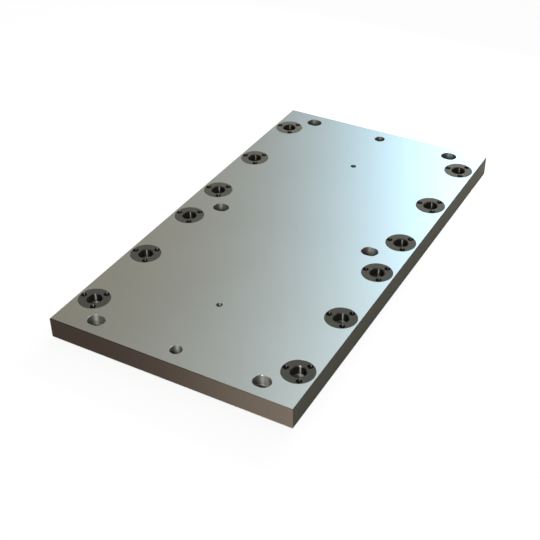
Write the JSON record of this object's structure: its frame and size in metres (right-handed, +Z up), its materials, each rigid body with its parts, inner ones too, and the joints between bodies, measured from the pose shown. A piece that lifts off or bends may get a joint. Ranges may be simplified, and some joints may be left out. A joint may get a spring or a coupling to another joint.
{
  "type": "zero point clamping plate",
  "caption": "Flat machine table plate with flush receiver bushings in two columns, sunk table slots, dowel holes and lifting holes.",
  "frame": {"origin": "centre of the plate's underside", "axes": "+Z up out of the top face, +Y along the plate's long side, +X across it"},
  "size_m": [0.35, 0.658, 0.03],
  "materials": {
    "plate": "ground steel, satin",
    "bushing": "hardened and turned steel, dark",
    "screw": "black oxide alloy steel"
  },
  "bodies": {
    "root": {"base_plate": "plate", "receiver_bushing_left_1": "bushing", "bushing_screws_left_1": "screw", "receiver_bushing_left_2": "bushing", "bushing_screws_left_2": "screw", "receiver_bushing_left_3": "bushing", "bushing_screws_left_3": "screw", "receiver_bushing_left_4": "bushing", "bushing_screws_left_4": "screw", "receiver_bushing_left_5": "bushing", "bushing_screws_left_5": "screw", "receiver_bushing_left_6": "bushing", "bushing_screws_left_6": "screw", "receiver_bushing_right_1": "bushing", "bushing_screws_right_1": "screw", "receiver_bushing_right_2": "bushing", "bushing_screws_right_2": "screw", "receiver_bushing_right_3": "bushing", "bushing_screws_right_3": "screw", "receiver_bushing_right_4": "bushing", "bushing_screws_right_4": "screw", "receiver_bushing_right_5": "bushing", "bushing_screws_right_5": "screw", "receiver_bushing_right_6": "bushing", "bushing_screws_right_6": "screw"}
  },
  "joints": []
}
